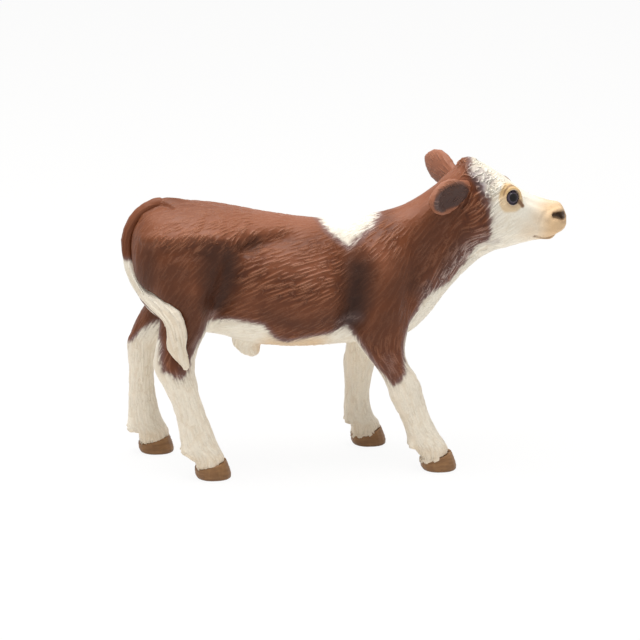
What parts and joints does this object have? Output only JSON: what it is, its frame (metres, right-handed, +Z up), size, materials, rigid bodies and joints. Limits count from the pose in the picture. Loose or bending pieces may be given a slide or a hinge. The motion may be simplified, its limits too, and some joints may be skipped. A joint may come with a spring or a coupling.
{
  "type": "toy farm animal figure",
  "caption": "Standing calf figure in mid stride, with raised head, open ears, cloven hooves and a tail that swings to one side.",
  "frame": {"origin": "on the ground under the middle of the figure's overall box, with the hoof soles at z = 0", "axes": "+X towards the head along the length of the body, +Z up, -Y the calf's right side"},
  "size_m": [0.096, 0.0312, 0.0663],
  "materials": {
    "coat": "satin red-brown paint over moulded hair, with white patches",
    "pale_coat": "satin cream paint over moulded hair",
    "hoof": "satin horn-brown paint",
    "eye": "glossy dark paint"
  },
  "bodies": {
    "root": {"trunk": "coat", "head": "coat", "right_ear": "coat", "left_ear": "coat", "right_eye": "eye", "left_eye": "eye", "tail": "coat", "right_foreleg": "pale_coat", "left_foreleg": "pale_coat", "right_hind_leg": "pale_coat", "left_hind_leg": "pale_coat", "right_fore_hoof": "hoof", "left_fore_hoof": "hoof", "right_hind_hoof": "hoof", "left_hind_hoof": "hoof"}
  },
  "joints": []
}
